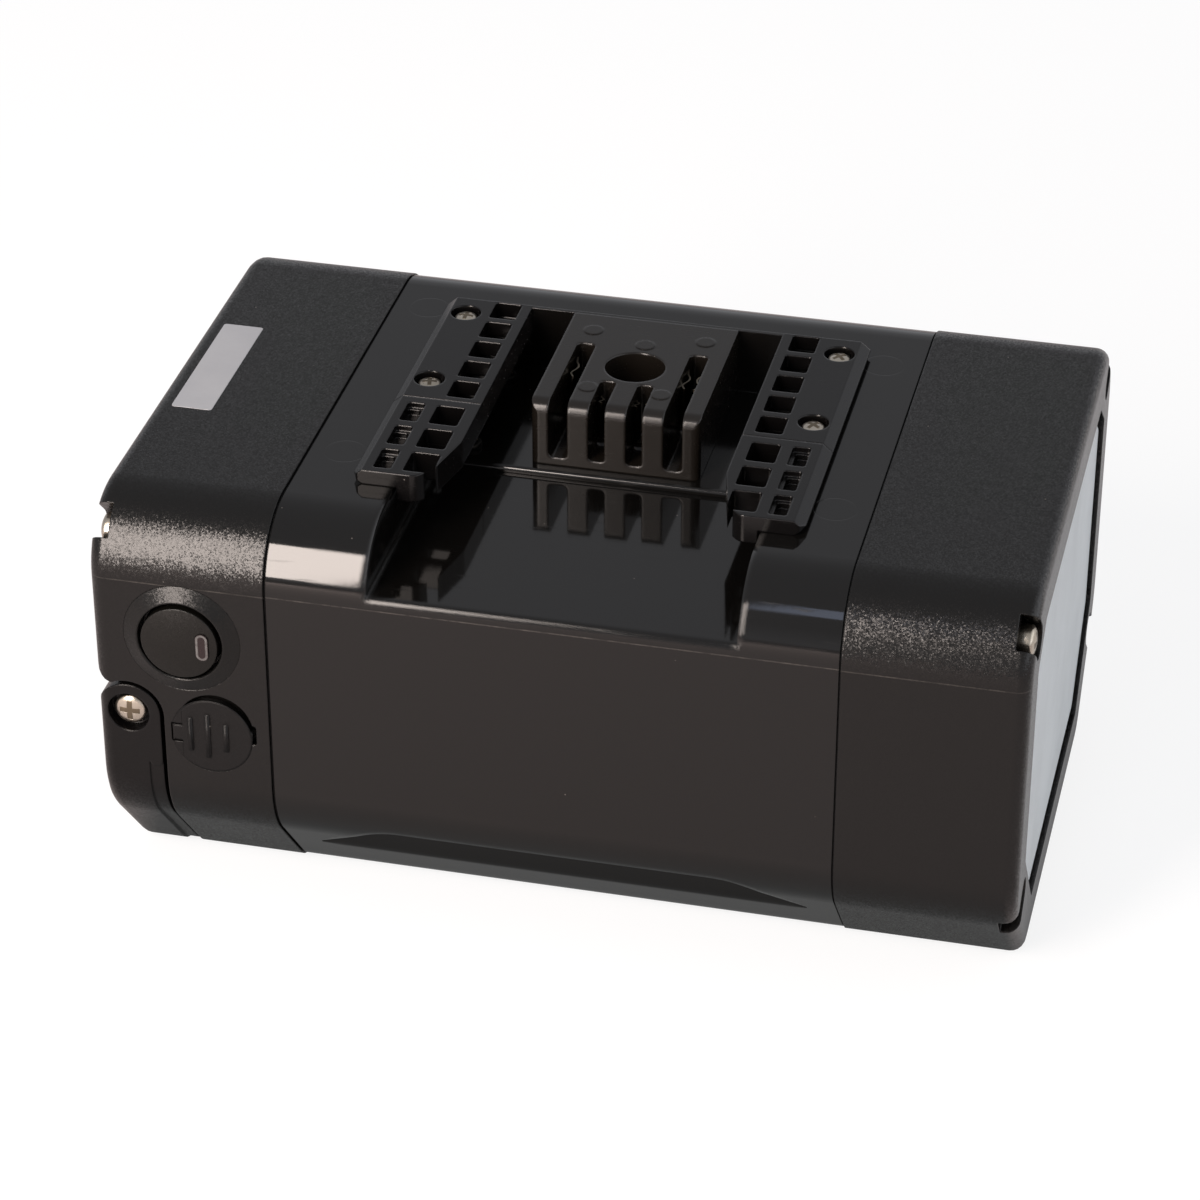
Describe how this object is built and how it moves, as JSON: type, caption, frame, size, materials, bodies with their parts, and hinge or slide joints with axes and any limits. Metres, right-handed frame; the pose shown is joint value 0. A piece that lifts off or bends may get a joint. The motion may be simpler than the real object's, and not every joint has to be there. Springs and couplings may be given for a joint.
{
  "type": "seat tube battery",
  "caption": "Battery pack for an electric bicycle's seat tube: gloss centre shell, grained end caps, folding handle, button, charge port and a slide-on terminal block between rails.",
  "frame": {"origin": "on the plane the pack lies on, under the middle of its body", "axes": "+X from the handle end to the plain end, +Z out of the mounting face, -Y out of the face with the button and the charge port"},
  "size_m": [0.23, 0.1542, 0.1162],
  "materials": {
    "cap_plastic": "fine leather grain, satin",
    "handle_plastic": "fine leather grain, satin",
    "shell_plastic": "gloss black",
    "gasket_rubber": "matt black",
    "panel_plate": "satin silver",
    "label_foil": "matt silver",
    "screw_steel": "bright nickel",
    "plate_plastic": "satin black",
    "block_plastic": "satin to gloss",
    "rail_plastic": "satin black",
    "nose_plastic": "satin black",
    "contact_metal": "bright",
    "bezel_plastic": "satin black",
    "button_plastic": "satin",
    "window_plastic": "milky",
    "boot_rubber": "matt",
    "cover_rubber": "matt",
    "socket_plastic": "matt",
    "circuit_board": "green lacquer",
    "holder_plastic": "matt black",
    "cell_sleeve": "blue sleeve",
    "nickel_strip": "nickel",
    "sink_aluminium": "plain",
    "insulating_sheet": "fish paper",
    "lead_black": "silicone",
    "lead_red": "silicone"
  },
  "bodies": {
    "pack": {"left_end_cap": "cap_plastic", "centre_shell": "shell_plastic", "right_end_cap": "cap_plastic", "left_gasket": "gasket_rubber", "right_gasket": "gasket_rubber", "right_end_panel": "panel_plate", "rating_label": "label_foil", "left_end_screws": "screw_steel", "right_end_screws": "screw_steel", "mounting_plate": "plate_plastic", "plate_screws": "screw_steel", "terminal_block": "block_plastic", "power_contacts": "contact_metal", "signal_contacts": "contact_metal", "left_rail": "rail_plastic", "right_rail": "rail_plastic", "left_rail_nose": "nose_plastic", "right_rail_nose": "nose_plastic", "rail_screws": "screw_steel", "handle_bushes": "screw_steel", "handle_screws": "screw_steel", "button_bezel": "bezel_plastic", "button_boot": "boot_rubber", "switch_board": "circuit_board", "switch_posts": "holder_plastic", "cover_pin": "screw_steel", "charge_socket": "socket_plastic", "charge_pin": "contact_metal", "charge_nut": "screw_steel", "cells_front_bank": "cell_sleeve", "cells_back_bank": "cell_sleeve", "front_outer_holder": "holder_plastic", "front_inner_holder": "holder_plastic", "back_inner_holder": "holder_plastic", "back_outer_holder": "holder_plastic", "front_strips": "nickel_strip", "back_strips": "nickel_strip", "middle_strips": "nickel_strip", "middle_sheet": "insulating_sheet", "insulation_sheets": "insulating_sheet", "foam_pads": "boot_rubber", "bms_board": "circuit_board", "bms_parts": "holder_plastic", "heat_sink": "sink_aluminium", "bms_terminals": "contact_metal", "bms_screws": "screw_steel", "fuse_holder": "holder_plastic", "fuse": "contact_metal", "fuse_screws": "screw_steel", "negative_lead": "lead_black", "positive_lead": "lead_red", "charge_lead": "lead_black", "button_lead": "lead_black", "fuse_lead": "lead_red"},
    "handle": {"handle": "handle_plastic"},
    "button": {"power_button": "button_plastic", "led_window": "window_plastic"},
    "port_cover": {"charge_port_cover": "cover_rubber"}
  },
  "joints": [
    {"name": "handle_hinge", "type": "hinge", "parent": "pack", "child": "handle", "pos_m": [-0.1069, 0, 0.0553], "axis": [0, 1, 0], "range_deg": [0, 90]},
    {"name": "button_slide", "type": "slide", "parent": "pack", "child": "button", "axis": [0, 1, 0], "range_m": [0, 0.0012], "stiffness_N_per_m": 800, "springref_m": -0.0004, "deforming": ["button_boot"]},
    {"name": "port_cover_hinge", "type": "hinge", "parent": "pack", "child": "port_cover", "pos_m": [-0.09459, -0.0744, 0.0514], "axis": [0, 0, -1], "range_deg": [0, 100]}
  ]
}
